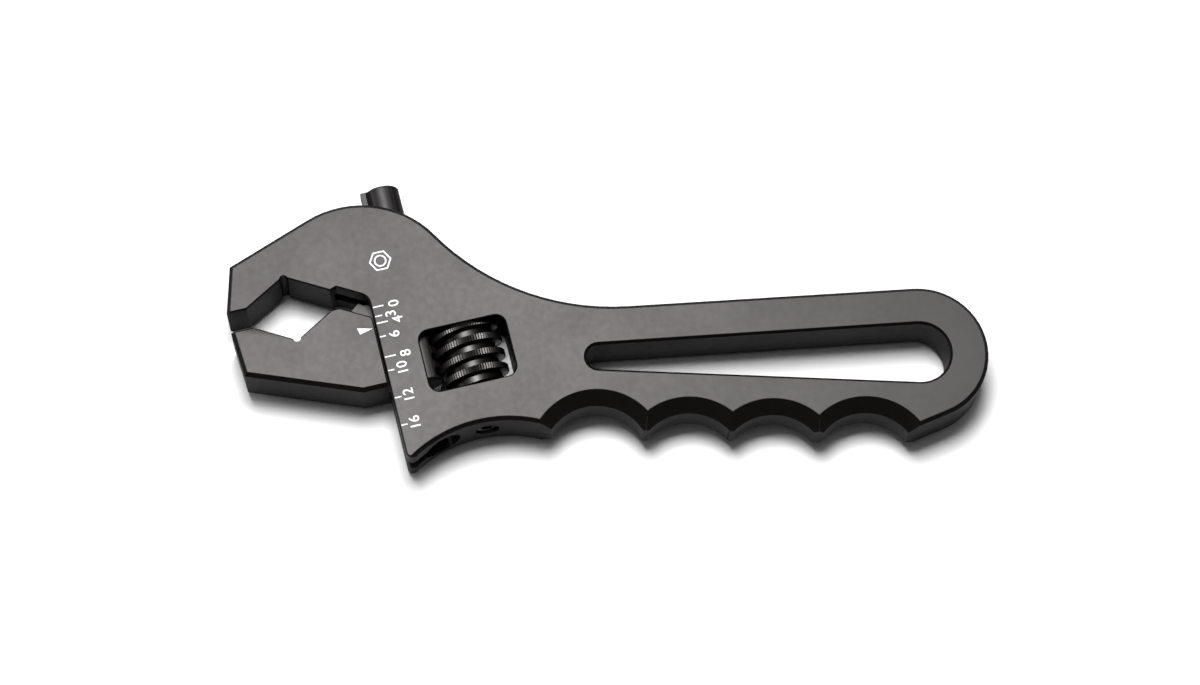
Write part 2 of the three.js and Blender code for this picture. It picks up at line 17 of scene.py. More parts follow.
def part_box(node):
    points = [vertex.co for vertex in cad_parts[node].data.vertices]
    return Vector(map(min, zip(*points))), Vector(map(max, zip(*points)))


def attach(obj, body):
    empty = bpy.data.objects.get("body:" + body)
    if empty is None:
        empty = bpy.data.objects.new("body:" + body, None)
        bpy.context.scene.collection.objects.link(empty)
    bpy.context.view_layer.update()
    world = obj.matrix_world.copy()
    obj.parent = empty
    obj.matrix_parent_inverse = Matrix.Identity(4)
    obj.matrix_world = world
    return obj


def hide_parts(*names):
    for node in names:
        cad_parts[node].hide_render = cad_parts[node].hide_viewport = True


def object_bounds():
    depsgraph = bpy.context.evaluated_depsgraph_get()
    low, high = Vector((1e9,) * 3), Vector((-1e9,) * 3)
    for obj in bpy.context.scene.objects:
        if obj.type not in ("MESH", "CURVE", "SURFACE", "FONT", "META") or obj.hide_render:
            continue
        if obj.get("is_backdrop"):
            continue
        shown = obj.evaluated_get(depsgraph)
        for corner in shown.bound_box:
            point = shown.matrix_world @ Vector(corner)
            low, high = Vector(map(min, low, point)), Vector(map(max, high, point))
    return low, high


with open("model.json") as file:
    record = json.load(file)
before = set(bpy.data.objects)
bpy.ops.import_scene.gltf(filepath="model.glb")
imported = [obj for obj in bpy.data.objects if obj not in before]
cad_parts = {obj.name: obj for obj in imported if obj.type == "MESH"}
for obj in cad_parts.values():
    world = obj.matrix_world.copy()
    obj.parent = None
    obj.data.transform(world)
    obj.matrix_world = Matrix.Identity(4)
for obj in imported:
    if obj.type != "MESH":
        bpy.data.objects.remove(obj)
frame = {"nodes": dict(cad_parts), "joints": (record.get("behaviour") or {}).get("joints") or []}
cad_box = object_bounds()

nodes = frame["nodes"]
print("CAD pieces:", ", ".join(sorted(nodes)))

# %% [markdown]
# ## The head frame
# The head of the wrench leans against its handle, and the jaw, the worm and the scale all follow
# the head. Their places are easy to say in a frame of the head's own: u points away from the jaws,
# v runs along the jaw's travel, and z = 0 is the middle of the plate. It could be typed in as a
# matrix, but the worm's joint gives both the direction of v and a point that is known in this
# frame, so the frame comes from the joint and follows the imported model.

# %% The head frame, in millimetres
MM = 0.001
WORM_MIDDLE_U = 21.5
WORM_MIDDLE_V = 4.05

worm_joint = next(joint for joint in frame["joints"] if joint["name"] == "worm_spin")
worm_middle = Vector(worm_joint["pos_m"])
v_way = Vector(worm_joint["axis"]).normalized()
z_way = Vector((0, 0, 1))
u_way = v_way.cross(z_way)
head_origin = worm_middle - (u_way * WORM_MIDDLE_U + v_way * WORM_MIDDLE_V) * MM
turn_to_head = Matrix((u_way, v_way, z_way)).transposed().to_4x4()
HEAD = Matrix.Translation(head_origin) @ turn_to_head @ Matrix.Scale(MM, 4)

plate_low, plate_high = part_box("wrench_body")
HALF_PLATE = (plate_high.z - plate_low.z) / MM / 2
print(f"head frame at {tuple(round(c / MM, 2) for c in head_origin)} mm, plate {2 * HALF_PLATE:.1f} mm")


# %% [markdown]
# ## The camera
# A long lens far away keeps the outlines nearly parallel, so the plate's real shape shows. The
# camera is set by where it looks, how high it stands and how far it is turned and rolled. A matrix
# would say the same, but these values can be understood and changed by hand.

# %% Set the camera
LENS = 100.47
SENSOR = 36.0
CAMERA_ELEVATION = math.radians(71.3)
CAMERA_TURN = math.radians(5.93)
CAMERA_ROLL = math.radians(4.9)
CAMERA_DISTANCE = 0.84012
CAMERA_TARGET = Vector((-0.002118, -0.007820, plate_high.z))


def aim_camera():
    level = math.cos(CAMERA_ELEVATION)
    forward = Vector((
        level * math.sin(CAMERA_TURN),
        level * math.cos(CAMERA_TURN),
        -math.sin(CAMERA_ELEVATION),
    ))
    right = forward.cross(z_way).normalized()
    up = right.cross(forward)
    rolled_right = right * math.cos(CAMERA_ROLL) + up * math.sin(CAMERA_ROLL)
    rolled_up = up * math.cos(CAMERA_ROLL) - right * math.sin(CAMERA_ROLL)
    place = Matrix((rolled_right, rolled_up, -forward)).transposed().to_4x4()
    place.translation = CAMERA_TARGET - forward * CAMERA_DISTANCE
    return place


camera_data = bpy.data.cameras.new("product_camera")
camera_data.lens = LENS
camera_data.sensor_width = SENSOR
camera = bpy.data.objects.new("product_camera", camera_data)
camera.matrix_world = aim_camera()
bpy.context.scene.collection.objects.link(camera)
bpy.context.scene.camera = camera
print(f"camera {CAMERA_DISTANCE / MM:.0f} mm away, {math.degrees(CAMERA_ELEVATION):.1f} degrees up")

# %% [markdown]
# ## Helpers for node trees
# A material is a tree of nodes, and so is a Geometry Nodes group. Both are easier to read when one
# line adds a node, sets its inputs and links what it is given. The sockets are named as Blender
# shows them, and a value that is itself a socket becomes a link.

# %% Helpers for node trees
def add_node(tree, kind, inputs=None, **settings):
    made = tree.nodes.new(kind)
    for name, value in settings.items():
        setattr(made, name, value)
    for name, value in (inputs or {}).items():
        if isinstance(value, bpy.types.NodeSocket):
            tree.links.new(value, made.inputs[name])
        else:
            made.inputs[name].default_value = value
    return made


def calculate(tree, operation, first, second=0.0):
    made = add_node(tree, "ShaderNodeMath", {0: first, 1: second}, operation=operation)
    return made.outputs[0]


def map_range(tree, value, from_low, from_high, to_low, to_high, smooth=False):
    limits = {"From Min": from_low, "From Max": from_high, "To Min": to_low, "To Max": to_high}
    made = add_node(
        tree,
        "ShaderNodeMapRange",
        {"Value": value, **limits},
        interpolation_type="SMOOTHSTEP" if smooth else "LINEAR",
    )
    return made.outputs["Result"]


print("helpers for node trees:", ", ".join(helper.__name__ for helper in (add_node, calculate, map_range)))

# %% [markdown]
# ## Black anodised aluminium
# Anodising grows a hard, clear skin on aluminium and dyes it. What the eye sees is an almost black
# ground under a satin gloss, so the metal hardly shows. A dark metallic shader would also look
# black, but it would mirror the pale floor in every wall. So this is a glossy skin on a nearly
# black base, with three scales of noise: slow clouds in the gloss, a mottle in colour and gloss,
# and a fine grain left by the blasting before the dye. The milled walls have the same finish with
# a weaker and rougher gloss, because the cutter's fine lines scatter the light there.

# %% Anodised finish
def shader_tree(name):
    material = bpy.data.materials.new(name)
    material.use_nodes = True
    tree = material.node_tree
    surface = tree.nodes["Principled BSDF"]
    coordinates = add_node(tree, "ShaderNodeTexCoord").outputs["Object"]
    return material, tree, surface, coordinates


def noise(tree, place, size_mm, detail=2.0):
    scale = 1 / (size_mm * MM)
    made = add_node(tree, "ShaderNodeTexNoise", {"Vector": place, "Scale": scale, "Detail": detail})
    return made.outputs[0]


def mix_colours(tree, share, first, second):
    made = add_node(tree, "ShaderNodeMix", {0: share, 6: first, 7: second}, data_type="RGBA")
    return made.outputs[2]


DYE_DARK = (0.0024, 0.0016, 0.0015, 1)
DYE_LIGHT = (0.0042, 0.003, 0.003, 1)
SKIN_TINT = (1.0, 0.95, 0.955, 1)
CLOUD_MM = 22
MOTTLE_MM = 1.6
GRAIN_MM = 0.16
GRAIN_DEPTH_MM = 0.012


def bumped(tree, surface, height, strength, depth_mm):
    depth = depth_mm * MM
    bump = add_node(tree, "ShaderNodeBump", {"Strength": strength, "Distance": depth, "Height": height})
    tree.links.new(bump.outputs[0], surface.inputs["Normal"])


def anodised_finish(name, skin_index, roughness):
    material, tree, surface, place = shader_tree(name)
    clouds = noise(tree, place, CLOUD_MM)
    mottle = noise(tree, place, MOTTLE_MM, 4)
    grain = noise(tree, place, GRAIN_MM, 3)
    colour = mix_colours(tree, mottle, DYE_DARK, DYE_LIGHT)
    tree.links.new(colour, surface.inputs["Base Color"])
    cloudy = map_range(tree, clouds, 0.3, 0.7, roughness, roughness + 0.04)
    speckled = map_range(tree, mottle, 0.2, 0.8, 0.0, 0.05)
    tree.links.new(calculate(tree, "ADD", cloudy, speckled), surface.inputs["Roughness"])
    surface.inputs["IOR"].default_value = skin_index
    surface.inputs["Specular Tint"].default_value = SKIN_TINT
    bumped(tree, surface, grain, 0.16, GRAIN_DEPTH_MM)
    return material


black_anodised = anodised_finish("black_anodised", skin_index=1.45, roughness=0.42)
anodised_walls = anodised_finish("anodised_walls", skin_index=1.16, roughness=0.5)
print("made", black_anodised.name, "and", anodised_walls.name)

# %% [markdown]
# ## Blackened and ground steel
# The worm and the grub screw are steel with a black oxide, and the pin and the spring stay bright.
# The oxide is thin, so unlike the dye it keeps the metal's own highlights, and a metallic shader
# is right. A turned or drawn piece carries fine rings from the tool. They could be cut into the
# mesh, but a wave along the piece, used as bump, breaks the reflection just as well.

# %% Steel finishes
RING_DEPTH_MM = 0.004


def steel_finish(name, dark, light, roughness, ring_mm):
    material, tree, surface, place = shader_tree(name)
    mottle = noise(tree, place, 0.9, 3)
    colour = mix_colours(tree, mottle, (*dark, 1), (*light, 1))
    tree.links.new(colour, surface.inputs["Base Color"])
    worn = map_range(tree, noise(tree, place, 3.5), 0.3, 0.7, roughness, roughness + 0.08)
    tree.links.new(worn, surface.inputs["Roughness"])
    along = add_node(tree, "ShaderNodeVectorMath", {0: place, 1: v_way}, operation="DOT_PRODUCT")
    radians_per_metre = 2 * math.pi / (ring_mm * MM)
    wave = calculate(tree, "SINE", calculate(tree, "MULTIPLY", along.outputs["Value"], radians_per_metre))
    bumped(tree, surface, wave, 0.12, RING_DEPTH_MM)
    surface.inputs["Metallic"].default_value = 1.0
    return material


black_steel = steel_finish(
    "black_steel", dark=(0.026, 0.025, 0.024), light=(0.046, 0.044, 0.042), roughness=0.33, ring_mm=0.11
)
bright_steel = steel_finish(
    "bright_steel", dark=(0.42, 0.42, 0.43), light=(0.56, 0.55, 0.54), roughness=0.22, ring_mm=0.07
)
print("made", black_steel.name, "and", bright_steel.name)

# %% [markdown]
# ## White marking
# The scale is printed in white, and a laser or a pad never lays it down evenly. One even white
# would do from far away, but close up it would look like a paper cut-out. A little noise between
# two whites, on a rough surface, keeps it from that.

# %% Marking finish
def marking_finish(name):
    material, tree, surface, place = shader_tree(name)
    speckle = noise(tree, place, 0.12, 3)
    share = map_range(tree, speckle, 0.35, 0.65, 0.0, 1.0)
    colour = mix_colours(tree, share, (0.62, 0.62, 0.62, 1), (0.86, 0.86, 0.86, 1))
    tree.links.new(colour, surface.inputs["Base Color"])
    rough = map_range(tree, speckle, 0.3, 0.7, 0.45, 0.6)
    tree.links.new(rough, surface.inputs["Roughness"])
    return material


white_marking = marking_finish("white_marking")
print("made", white_marking.name)

# %% [markdown]
# ## Helpers for pieces
# Every piece ends the same way: its modifiers become a plain mesh, it gets its material, it rides on
# the body that carries it, and the imported solid it replaces is hidden. That could be written out
# for each piece, but one function can't forget a step. A piece's object stays at the origin,
# unturned, with its place in its mesh, so a pattern on Object coordinates doesn't slide.

# %% Helpers for pieces
def link_object(name, mesh):
    made = bpy.data.objects.new(name, mesh)
    bpy.context.scene.collection.objects.link(made)
    return made


def apply_modifiers(made):
    """Turns the evaluated object into its plain mesh and removes its modifiers."""
    bpy.context.view_layer.update()
    evaluated = made.evaluated_get(bpy.context.evaluated_depsgraph_get())
    plain = bpy.data.meshes.new_from_object(evaluated)
    made.modifiers.clear()
    made.data = plain
    return made


def finish_piece(made, material, body, slot, *replaced):
    made.data.materials.clear()
    made.data.materials.append(material)
    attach(made, body)
    if replaced:
        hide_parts(*replaced)
    made.data.calc_loop_triangles()
    print(f"{made.name}: {len(made.data.loop_triangles)} triangles, rides on {body}")


def smooth_by_angle(mesh, angle):
    mesh.shade_smooth()
    mesh.set_sharp_from_angle(angle=angle)


finishing = (link_object, apply_modifiers, finish_piece, smooth_by_angle)
print("helpers for pieces:", ", ".join(helper.__name__ for helper in finishing))

# %% [markdown]
# ## The wrench body and the sliding jaw
# Both are milled from plate, and their shapes are already right: the outlines are arcs, and their
# chamfers are cut. What a milled edge has and a solid from CAD lacks is the tiny rounding that
# catches a line of light. A shader could fake it, but the exported mesh would stay sharp. So a
# copy of each solid is merged into one skin, its flat faces are joined, and a Bevel modifier
# rounds every sharp edge by about a tenth of a millimetre.

# %% Refine a milled piece
SHARP = math.radians(24)
SKIN_GAP = 0.002 * MM
NEARLY_FLAT = math.radians(0.3)


def merged_copy(node, name):
    mesh = nodes[node].data.copy()
    skin = bmesh.new()
    skin.from_mesh(mesh)
    bmesh.ops.remove_doubles(skin, verts=skin.verts, dist=SKIN_GAP)
    bmesh.ops.dissolve_limit(skin, angle_limit=NEARLY_FLAT, verts=skin.verts, edges=skin.edges)
    skin.to_mesh(mesh)
    skin.free()
    return link_object(name, mesh)


def milled_piece(node, name, rounding_mm):
    made = merged_copy(node, name)
    smooth_by_angle(made.data, SHARP)
    bevel = made.modifiers.new("fine edges", "BEVEL")
    bevel.limit_method = "ANGLE"
    bevel.angle_limit = SHARP
    bevel.width = rounding_mm * MM
    bevel.segments = 2
    bevel.use_clamp_overlap = False
    bevel.harden_normals = True
    bevel.miter_outer = "MITER_ARC"
    return apply_modifiers(made)


body_piece = milled_piece("wrench_body", "body_plate", rounding_mm=0.12)
jaw_piece = milled_piece("sliding_jaw", "jaw_with_rod", rounding_mm=0.1)
print(f"refined {body_piece.name} and {jaw_piece.name}")

# %% [markdown]
# ## Faces and walls
# The plate's two faces are smooth before the dye, and its walls are as the cutter left them. A mask
# in the shader could tell them apart, but an index of refraction that varies inside one material
# is lost in an export. So each polygon gets one of two materials, by the way it faces, and the
# border between them runs along real edges.

# %% Body and jaw
FLAT_ENOUGH = 0.8  # above this share of Z in its normal, a polygon belongs to a flat face


def finish_walls(made, material):
    made.data.materials.append(material)
    walls = 0
    for polygon in made.data.polygons:
        if abs(polygon.normal.z) < FLAT_ENOUGH:
            polygon.material_index = 1
            walls += 1
    print(f"{made.name}: {walls} of {len(made.data.polygons)} polygons are walls")


finish_piece(body_piece, black_anodised, "handle", "black_anodised", "wrench_body")
finish_walls(body_piece, anodised_walls)
finish_piece(jaw_piece, black_anodised, "jaw", "black_anodised", "sliding_jaw")
finish_walls(jaw_piece, anodised_walls)

# %% [markdown]
# ## Starting and ending a node group
# The worm's thread, the grub screw's thread, the spring and the bars of the scale are made by
# Geometry Nodes. Each group has its sizes as named inputs, so one tree can make several pieces.
# Each ends by making instances real and setting the material, because an export drops instances.
# The two ends are the same in every tree, so two functions make them.

# %% Start and end a group
def new_group(name, inputs):
    tree = bpy.data.node_groups.new(name, "GeometryNodeTree")
    tree.interface.new_socket("Geometry", in_out="INPUT", socket_type="NodeSocketGeometry")
    for label, (kind, value) in inputs.items():
        socket = tree.interface.new_socket(label, in_out="INPUT", socket_type=kind)
        if value is not None:
            socket.default_value = value
    tree.interface.new_socket("Geometry", in_out="OUTPUT", socket_type="NodeSocketGeometry")
    return tree, add_node(tree, "NodeGroupInput").outputs


def close_group(tree, geometry, given):
    real = add_node(tree, "GeometryNodeRealizeInstances", {"Geometry": geometry})
    painted = add_node(
        tree, "GeometryNodeSetMaterial", {"Geometry": real.outputs[0], "Material": given["Material"]}
    )
    add_node(tree, "NodeGroupOutput", {"Geometry": painted.outputs[0]})


print("helpers for groups:", new_group.__name__, "and", close_group.__name__)

# %% [markdown]
# ## The thread
# A worm thread follows a rule, so Geometry Nodes makes it. A flat strip is one pitch wide and many
# turns long. Across the strip a smooth step raises the crest, and along the crest a zigzag cuts
# the knurl. The strip is then rolled up: its length becomes the angle, and each turn climbs one
# pitch. Its two long edges meet, and Merge by Distance closes them. A modelled helix with a
# profile swept along it would also do, but its turns wouldn't share their edges.

# %% Build the thread tree
THREAD_INPUTS = {
    "Radius": ("NodeSocketFloat", 9.0),
    "Depth": ("NodeSocketFloat", 1.9),
    "Pitch": ("NodeSocketFloat", 4.0),
    "Crest": ("NodeSocketFloat", 0.78),
    "Root": ("NodeSocketFloat", 1.22),
    "Phase": ("NodeSocketFloat", 0.0),
    "First Turn": ("NodeSocketInt", -3),
    "Turns": ("NodeSocketInt", 6),
    "Columns": ("NodeSocketInt", 961),
    "Rows": ("NodeSocketInt", 33),
    "Serrations": ("NodeSocketInt", 80),
    "Serration Depth": ("NodeSocketFloat", 0.0),
    "Material": ("NodeSocketMaterial", None),
}
SEAM_GAP = 0.004  # closer than this, in millimetres, two edges of the strip become one


def thread_tree():
    tree, given = new_group("rolled_thread", THREAD_INPUTS)
    strip = add_node(
        tree,
        "GeometryNodeMeshGrid",
        {
            "Size X": given["Turns"],
            "Size Y": given["Pitch"],
            "Vertices X": given["Columns"],
            "Vertices Y": given["Rows"],
        },
    )
    position = add_node(tree, "GeometryNodeInputPosition").outputs[0]
    place = add_node(tree, "ShaderNodeSeparateXYZ", {0: position})
    middle = calculate(tree, "MULTIPLY", given["Turns"], 0.5)
    turn = calculate(tree, "ADD", calculate(tree, "ADD", place.outputs["X"], middle), given["First Turn"])
    aside = calculate(tree, "ABSOLUTE", place.outputs["Y"])
    lift = map_range(tree, aside, given["Crest"], given["Root"], given["Depth"], 0.0, smooth=True)
    crest_foot = calculate(tree, "MULTIPLY", given["Depth"], 0.6)
    crest_only = map_range(tree, lift, crest_foot, given["Depth"], 0.0, 1.0)
    zigzag = calculate(tree, "PINGPONG", calculate(tree, "MULTIPLY", turn, given["Serrations"]), 0.5)
    cut = calculate(tree, "MULTIPLY", calculate(tree, "MULTIPLY", zigzag, 2.0), given["Serration Depth"])
    root = calculate(tree, "SUBTRACT", given["Radius"], given["Depth"])
    height = calculate(tree, "SUBTRACT", lift, calculate(tree, "MULTIPLY", cut, crest_only))
    radius = calculate(tree, "ADD", root, height)
    angle = calculate(tree, "MULTIPLY", turn, 2 * math.pi)
    climb = calculate(tree, "ADD", calculate(tree, "MULTIPLY", turn, given["Pitch"]), given["Phase"])
    rolled = add_node(
        tree,
        "ShaderNodeCombineXYZ",
        {
            "X": calculate(tree, "MULTIPLY", radius, calculate(tree, "SINE", angle)),
            "Y": calculate(tree, "ADD", climb, place.outputs["Y"]),
            "Z": calculate(tree, "MULTIPLY", radius, calculate(tree, "COSINE", angle)),
        },
    )
    flat = strip.outputs["Mesh"]
    moved = add_node(tree, "GeometryNodeSetPosition", {"Geometry": flat, "Position": rolled.outputs[0]})
    rolled_up = moved.outputs[0]
    closed = add_node(tree, "GeometryNodeMergeByDistance", {"Geometry": rolled_up, "Distance": SEAM_GAP})
    close_group(tree, closed.outputs[0], given)
    return tree


THREAD = thread_tree()
print(f"{THREAD.name}: {len(THREAD.nodes)} nodes, {len(THREAD_INPUTS)} inputs")

# %% [markdown]
# ## Running a tree
# A modifier runs the tree with one piece's own sizes. Its inputs are known by identifiers, and they
# have to be set before the object is first evaluated. The modifier could stay live, but a plain
# mesh can still be cut, turned and put in place, so it is applied at once.

# %% Run a tree with its own values
def run_tree(name, tree, values, base=None):
    """Makes a plain mesh object from a tree. Inputs are set by identifier before it is evaluated."""
    made = link_object(name, base or bpy.data.meshes.new(name))
    modifier = made.modifiers.new("made by nodes", "NODES")
    modifier.node_group = tree
    sockets = [item for item in tree.interface.items_tree if item.in_out == "INPUT"]
    identifiers = {socket.name: socket.identifier for socket in sockets}
    for label, value in values.items():
        modifier[identifiers[label]] = value
    return apply_modifiers(made)


print("helper for trees:", run_tree.__name__)

# %% [markdown]
# ## From a thread to a worm
# The rolled strip is a skin, open at both ends. Two planes cut it to length, and each cut is filled
# with one flat face, which makes it a solid. Then its bore, its pocket and its chamfered ends are
# cut with Boolean modifiers. They could be modelled into the strip, but a turned cutter is simpler
# to read and to change. The order matters: a Boolean needs closed solids.

# %% Cut, close and bore
TURNED_GAP = 1e-4  # doubles closer than this are merged on a turned solid


def cut_to_length(made, low, high):
    skin = bmesh.new()
    skin.from_mesh(made.data)
    for height, way in ((low, -1), (high, 1)):
        everything = skin.verts[:] + skin.edges[:] + skin.faces[:]
        bmesh.ops.bisect_plane(
            skin,
            geom=everything,
            dist=1e-5,
            plane_co=(0, height, 0),
            plane_no=(0, way, 0),
            clear_outer=True,
        )
    rims = [edge for edge in skin.edges if edge.is_boundary]
    bmesh.ops.holes_fill(skin, edges=rims, sides=0)
    bmesh.ops.recalc_face_normals(skin, faces=skin.faces)
    skin.to_mesh(made.data)
    skin.free()


def lathe(name, profile, steps=64):
    """A solid turned about v, from the radius and height of each corner of its half profile."""
    mesh = bpy.data.meshes.new(name)
    skin = bmesh.new()
    corners = [skin.verts.new((radius, height, 0)) for radius, height in profile]
    edges = [skin.edges.new(pair) for pair in zip(corners, corners[1:])]
    bmesh.ops.spin(
        skin,
        geom=corners + edges,
        cent=(0, 0, 0),
        axis=(0, 1, 0),
        angle=2 * math.pi,
        steps=steps,
        use_merge=True,
    )
    bmesh.ops.remove_doubles(skin, verts=skin.verts, dist=TURNED_GAP)
    bmesh.ops.recalc_face_normals(skin, faces=skin.faces)
    skin.to_mesh(mesh)
    skin.free()
    return link_object(name, mesh)


def carve(made, *cutters):
    for cutter in cutters:
        modifier = made.modifiers.new("cut", "BOOLEAN")
        modifier.operation = "DIFFERENCE"
        modifier.solver = "EXACT"
        modifier.object = cutter
    apply_modifiers(made)
    for cutter in cutters:
        bpy.data.objects.remove(cutter)


def plug(radius, low, high, steps=64):
    return lathe("cutter", [(0, low), (radius, low), (radius, high), (0, high)], steps)


def edge_cutter(radius, edge, end, way):
    """A ring that chamfers the end of a round bar; way is the side the end looks to."""
    inner = radius - edge - 1
    outer = radius + 1
    past = end + way
    deepest = end - way * (edge + 1)
    return lathe("cutter", [(inner, past), (outer, deepest), (outer, past), (inner, past)], 96)


cutting = (cut_to_length, lathe, carve, plug, edge_cutter)
print("helpers for cutting:", ", ".join(helper.__name__ for helper in cutting))

# %% [markdown]
# ## The adjusting worm
# The thumb turns this knurled worm, and its thread pushes the rack on the jaw's rod. Each turn of
# the crest carries eighty fine teeth for the thumb to grip. They could be bump in the shader, but
# they show in the crest's outline, so they are cut into the thread. The worm's ends are flat and
# chamfered, just clear of the window's walls.

# %% Adjusting worm
WORM_R = 8.96
WORM_LOW = -3.8
WORM_HIGH = 11.9
WORM_EDGE = 1.0
WORM_PHASE = 3.15  # height of a crest on the worm's upper side
WORM_TURNS = 6
THREAD_DEPTH = 1.9
KNURL_TEETH = 80
KNURL_DEPTH = 0.16
PIN_HOLE_R = 2.5
POCKET_R = 4.0
POCKET_DEPTH = 4
PAST = 2  # how far a cutter runs past the end of what it cuts
AT_WORM = Matrix.Translation((WORM_MIDDLE_U, 0, 0))

worm_piece = run_tree("knurled_worm", THREAD, {
    "Radius": WORM_R,
    "Depth": THREAD_DEPTH,
    "Phase": WORM_PHASE,
    "First Turn": -3,
    "Turns": WORM_TURNS,
    "Columns": 2 * KNURL_TEETH * WORM_TURNS + 1,
    "Serrations": KNURL_TEETH,
    "Serration Depth": KNURL_DEPTH,
    "Material": black_steel,
})
cut_to_length(worm_piece, WORM_LOW, WORM_HIGH)
carve(
    worm_piece,
    plug(PIN_HOLE_R, WORM_LOW - PAST, WORM_HIGH + PAST),
    plug(POCKET_R, WORM_HIGH - POCKET_DEPTH, WORM_HIGH + PAST),
    edge_cutter(WORM_R, WORM_EDGE, WORM_LOW, -1),
    edge_cutter(WORM_R, WORM_EDGE, WORM_HIGH, 1),
)
worm_piece.data.transform(HEAD @ AT_WORM)
smooth_by_angle(worm_piece.data, math.radians(20))
finish_piece(worm_piece, black_steel, "worm", "black_steel", "adjusting_worm")

# %% [markdown]
# ## The worm's pin
# The worm turns on a plain ground pin. A cylinder primitive with a bevel would do, but the small
# chamfers at its ends come free when a half profile is turned about its axis, as on a lathe.

# %% Worm pin
PIN_R = 2.2
PIN_LOW = -8.2
PIN_HIGH = 18.8
PIN_EDGE = 0.3

pin_piece = lathe("ground_pin", [
    (0, PIN_LOW),
    (PIN_R - PIN_EDGE, PIN_LOW),
    (PIN_R, PIN_LOW + PIN_EDGE),
    (PIN_R, PIN_HIGH - PIN_EDGE),
    (PIN_R - PIN_EDGE, PIN_HIGH),
    (0, PIN_HIGH),
])
pin_piece.data.transform(HEAD @ AT_WORM)
smooth_by_angle(pin_piece.data, SHARP)
finish_piece(pin_piece, bright_steel, "handle", "bright_steel", "worm_pin")

# %% [markdown]
# ## The grub screw
# A short grub screw below closes the pin's hole and keeps the pin in the head. A plain plug would
# fill the hole, but the screw's socket and the start of its thread show in it. The thread tree
# makes this thread too, with a fine pitch and no knurl, and a six-sided plug cuts the socket.

# %% Grub screw
SCREW_R = 2.75
SCREW_LOW = -13.8
SCREW_HIGH = -8.8
SCREW_PITCH = 0.8
SCREW_TURNS = 9
SCREW_STEPS = 36
SOCKET_FLATS = 3
SOCKET_R = SOCKET_FLATS / 2 / math.cos(math.pi / 6)
SOCKET_DEPTH = 2.6

screw_piece = run_tree("grub_screw", THREAD, {
    "Radius": SCREW_R,
    "Depth": 0.42,
    "Pitch": SCREW_PITCH,
    "Crest": 0.06,
    "Root": 0.36,
    "Phase": SCREW_LOW,
    "First Turn": -1,
    "Turns": SCREW_TURNS,
    "Columns": SCREW_STEPS * SCREW_TURNS + 1,
    "Rows": 9,
    "Material": black_steel,
})
cut_to_length(screw_piece, SCREW_LOW, SCREW_HIGH)
carve(screw_piece, plug(SOCKET_R, SCREW_LOW - 1, SCREW_LOW + SOCKET_DEPTH, 6))
screw_piece.data.transform(HEAD @ AT_WORM)
smooth_by_angle(screw_piece.data, math.radians(30))
finish_piece(screw_piece, black_steel, "handle", "black_steel", "pin_grub_screw")

# %% [markdown]
# ## The spring
# A short spring in the worm's pocket pushes it against one wall of the window, so that the jaw
# doesn't rattle. A Screw modifier could wind a circle into a coil, but its wire would be flattened
# where it climbs. A spiral curve with a round profile along it keeps the wire round.

# %% Worm spring
SPRING_INPUTS = {
    "Coil Radius": ("NodeSocketFloat", 3.3),
    "Wire Radius": ("NodeSocketFloat", 0.4),
    "Height": ("NodeSocketFloat", 3.0),
    "Coils": ("NodeSocketFloat", 3.0),
    "Material": ("NodeSocketMaterial", None),
}
SPRING_LOW = 8.6
SPRING_HIGH = 11.5


def spring_tree():
    tree, given = new_group("coil_spring", SPRING_INPUTS)
    spiral = add_node(
        tree,
        "GeometryNodeCurveSpiral",
        {
            "Resolution": 40,
            "Rotations": given["Coils"],
            "Start Radius": given["Coil Radius"],
            "End Radius": given["Coil Radius"],
            "Height": given["Height"],
        },
    )
    wire = add_node(
        tree, "GeometryNodeCurvePrimitiveCircle", {"Resolution": 14, "Radius": given["Wire Radius"]}
    )
    coil = add_node(
        tree,
        "GeometryNodeCurveToMesh",
        {"Curve": spiral.outputs[0], "Profile Curve": wire.outputs[0], "Fill Caps": True},
    )
    close_group(tree, coil.outputs[0], given)
    return tree


spring_sizes = {"Height": SPRING_HIGH - SPRING_LOW, "Material": bright_steel}
spring_piece = run_tree("coil_spring", spring_tree(), spring_sizes)
stand_along_v = Matrix.Translation((0, SPRING_LOW, 0)) @ Matrix.Rotation(-math.pi / 2, 4, "X")
spring_piece.data.transform(HEAD @ AT_WORM @ stand_along_v)
smooth_by_angle(spring_piece.data, math.radians(50))
finish_piece(spring_piece, bright_steel, "handle", "bright_steel", "worm_spring")

# %% [markdown]
# ## The size scale
# Hose-fitting nuts have odd sizes across their flats, and the numbers on the scale are only their
# trade sizes. The marks could be placed by eye, but the jaws are 120 degree notches, so the jaw
# moves 1 / cos 30 times the change in nut size, and each mark's place follows from its nut. Each
# size is kept in inches, with the end of its line.

# %% Where the marks go
POINTER_V = 15.8
READING_AT_REST = 15.2  # what the scale says in millimetres when the jaw is at rest
INCH = 25.4
MARKED_NUTS = {
    "3": (0.5, 2.2),
    "4": (9 / 16, 3.25),
    "6": (11 / 16, 1.95),
    "8": (7 / 8, 3.2),
    "10": (1.0, 2.0),
    "12": (1.25, 2.15),
    "16": (1.5, 2.0),
}
CLOSED_MARK_V = 21.2
CLOSED_MARK_LENGTH = 3.1
LINE_START_U = 0.42
INK = 0.02  # how far the print stands out of the plate
HALF_PRINT = 0.03


def mark_height(size_inch):
    return POINTER_V - (size_inch * INCH - READING_AT_REST) / math.cos(math.pi / 6)


marks = {"0": (CLOSED_MARK_V, CLOSED_MARK_LENGTH)}
for label, (size_inch, length) in MARKED_NUTS.items():
    marks[label] = (mark_height(size_inch), length)
print("marks at", {label: round(v, 2) for label, (v, _) in marks.items()})

# %% [markdown]
# ## The bars of the scale
# Each mark is a thin white bar, and the bars differ only in length and place. They could be drawn
# one by one, but Geometry Nodes can set one bar on many points. A point carries the length of its
# bar as an attribute, and the bar is stretched to it.

